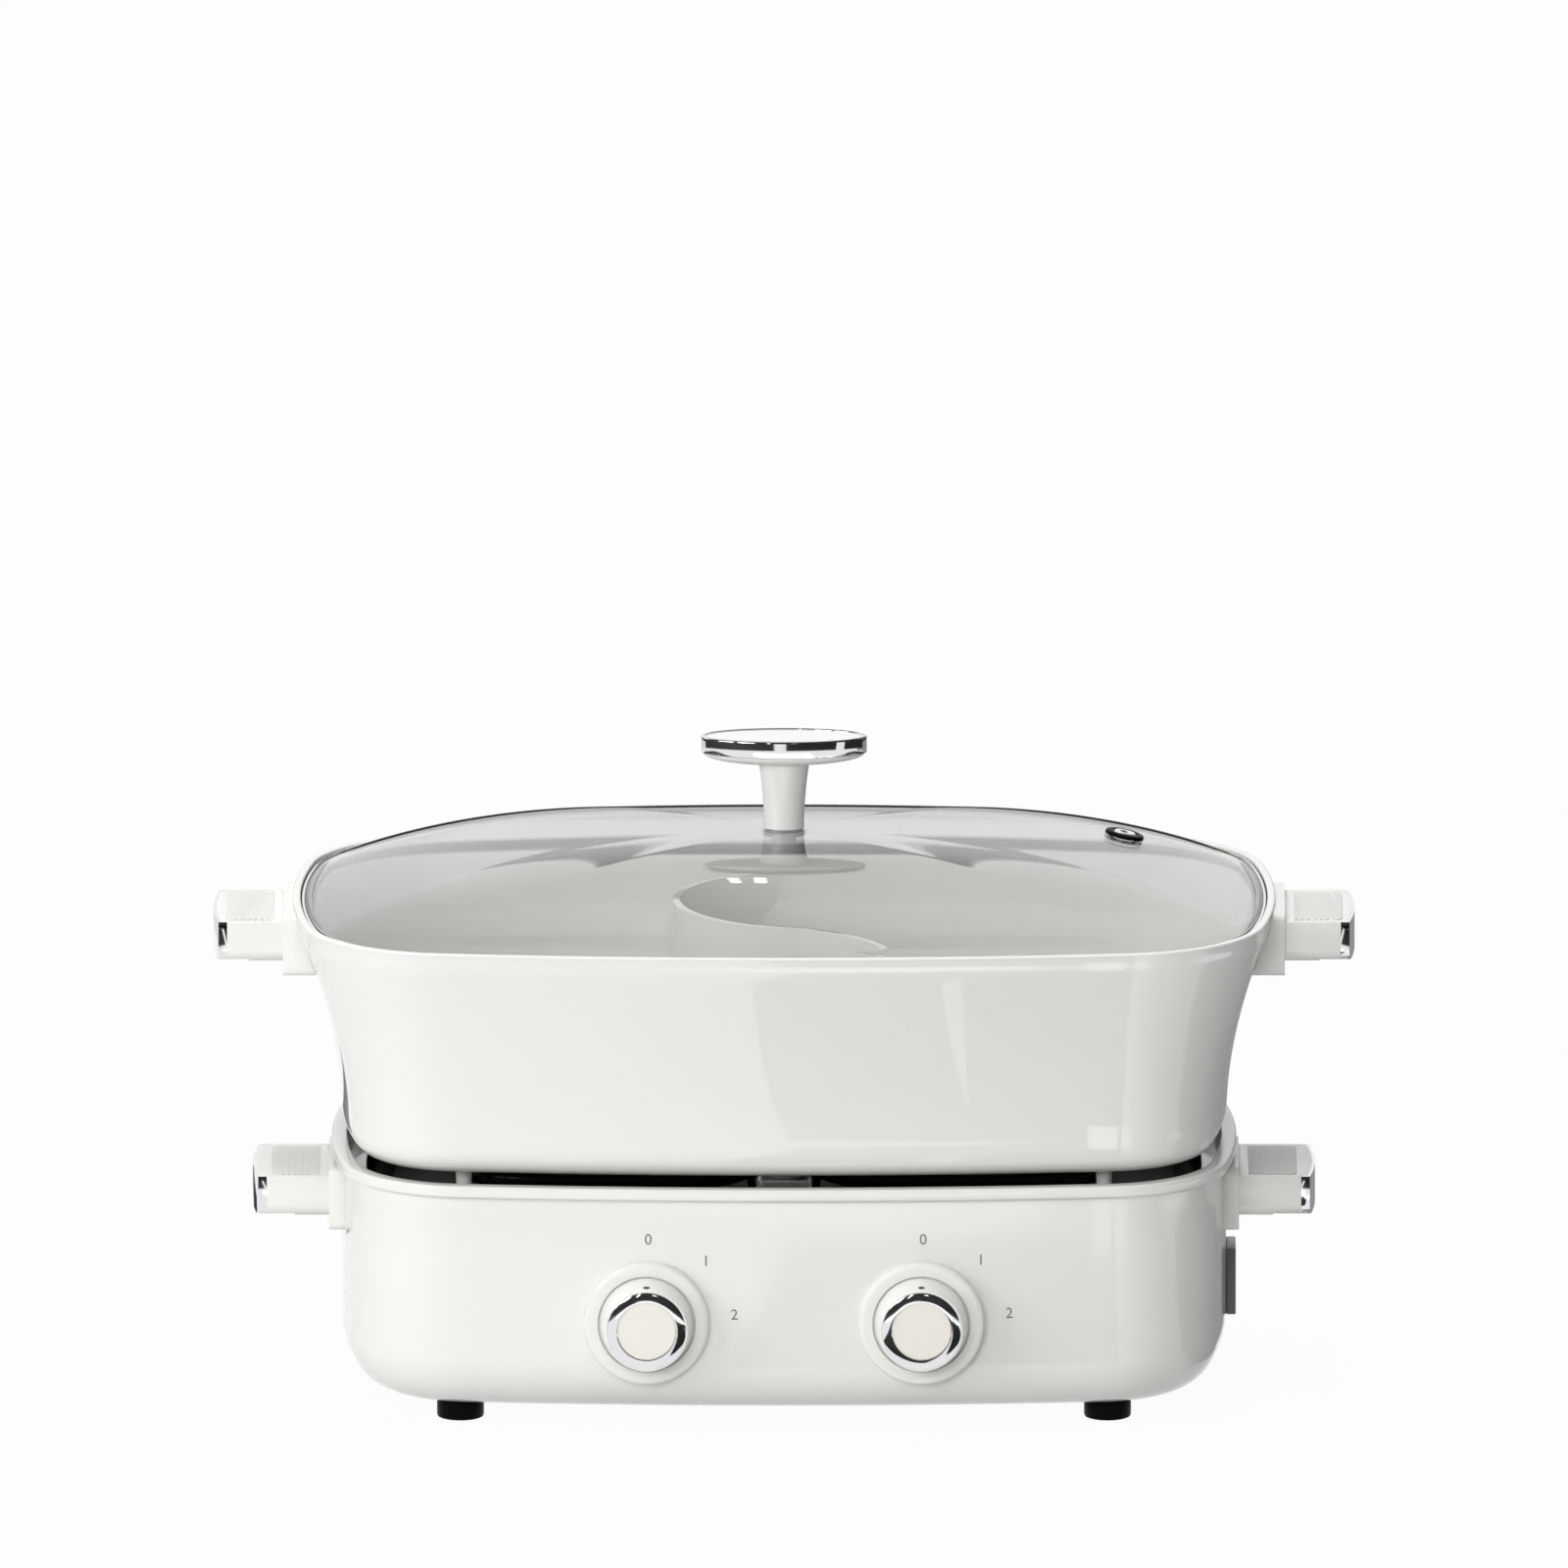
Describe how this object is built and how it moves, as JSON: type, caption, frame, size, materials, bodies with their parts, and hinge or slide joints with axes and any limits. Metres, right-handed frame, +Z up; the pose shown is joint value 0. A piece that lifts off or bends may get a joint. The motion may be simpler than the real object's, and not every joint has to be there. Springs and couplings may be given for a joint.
{
  "type": "electric hot pot",
  "caption": "Electric hot pot: low heating base with dials, two-compartment pot that lifts off, and a domed glass lid with a knob.",
  "frame": {"origin": "on the table under the middle of the base, at the underside of the feet", "axes": "+Z up, +X to the right along the length, -Y towards the dials at the front"},
  "size_m": [0.466, 0.2367, 0.27],
  "materials": {
    "white_enamel": "gloss",
    "white_plastic": "gloss",
    "pad_grey": "satin",
    "cream_plastic": "gloss",
    "switch_plastic": "matte",
    "cover_plastic": "satin",
    "rubber_black": "satin",
    "tray_black": "satin",
    "heater_black": "gloss",
    "black_plastic": "satin",
    "plate_steel": "satin",
    "spreader_black": "satin",
    "screw_steel": "satin",
    "chrome": "polished",
    "cap_steel": "polished",
    "socket_white": "satin",
    "pot_white": "gloss",
    "lid_glass": "gloss",
    "knob_white": "gloss"
  },
  "bodies": {
    "base": {"base_handle_band_left": "chrome", "base_handle_band_right": "chrome", "base_handle_bracket_left": "white_plastic", "base_handle_bracket_right": "white_plastic", "base_handle_grip_left": "white_plastic", "base_handle_grip_right": "white_plastic", "base_handle_pad_left": "pad_grey", "base_handle_pad_right": "pad_grey", "base_screws": "screw_steel", "base_shell": "white_enamel", "bottom_cover": "cover_plastic", "contact_plate_left": "plate_steel", "contact_plate_right": "plate_steel", "dial_bezel_left": "white_plastic", "dial_bezel_right": "white_plastic", "dial_switch_left": "switch_plastic", "dial_switch_right": "switch_plastic", "heat_tray": "tray_black", "heater_left": "heater_black", "heater_right": "heater_black", "heater_terminals": "screw_steel", "inlet_housing": "white_plastic", "inlet_pins": "screw_steel", "pin_sockets": "socket_white", "rubber_feet": "rubber_black", "sensor_sleeve": "chrome", "sensor_spring": "screw_steel", "thermostat_housing_left": "black_plastic", "thermostat_housing_right": "black_plastic"},
    "pot": {"heat_spreader_left": "spreader_black", "heat_spreader_right": "spreader_black", "locating_pins": "pot_white", "pot_body": "pot_white", "pot_divider": "pot_white", "pot_handle_band_left": "chrome", "pot_handle_band_right": "chrome", "pot_handle_bracket_left": "white_plastic", "pot_handle_bracket_right": "white_plastic", "pot_handle_grip_left": "white_plastic", "pot_handle_grip_right": "white_plastic", "pot_handle_pad_left": "pad_grey", "pot_handle_pad_right": "pad_grey", "pot_studs": "screw_steel"},
    "lid": {"lid_glass": "lid_glass", "lid_knob_band": "chrome", "lid_knob_dish": "knob_white", "lid_knob_insert": "knob_white", "lid_knob_stem": "knob_white", "lid_screw": "screw_steel", "lid_seal": "rubber_black", "lid_trim": "chrome", "vent_eyelet": "chrome"},
    "dial_left": {"dial_knob_left": "white_plastic", "dial_ring_left": "chrome", "dial_centre_left": "cream_plastic"},
    "dial_right": {"dial_knob_right": "white_plastic", "dial_ring_right": "chrome", "dial_centre_right": "cream_plastic"},
    "sensor_button": {"sensor_cap": "cap_steel"}
  },
  "joints": [
    {"name": "pot_lift", "type": "slide", "parent": "base", "child": "pot", "axis": [0, 0, 1], "range_m": [0, 0.1105]},
    {"name": "lid_lift", "type": "slide", "parent": "pot", "child": "lid", "axis": [0, 0, 1], "range_m": [0, 0.132]},
    {"name": "dial_left_turn", "type": "hinge", "parent": "base", "child": "dial_left", "pos_m": [-0.056, -0.11, 0.048], "axis": [0, -1, 0], "range_deg": [-90, 0]},
    {"name": "dial_right_turn", "type": "hinge", "parent": "base", "child": "dial_right", "pos_m": [0.056, -0.11, 0.048], "axis": [0, -1, 0], "range_deg": [-90, 0]},
    {"name": "sensor_press", "type": "slide", "parent": "base", "child": "sensor_button", "axis": [0, 0, 1], "range_m": [-0.003, 0], "stiffness_N_per_m": 600, "springref_m": 0.0015, "deforming": ["sensor_spring"]}
  ]
}
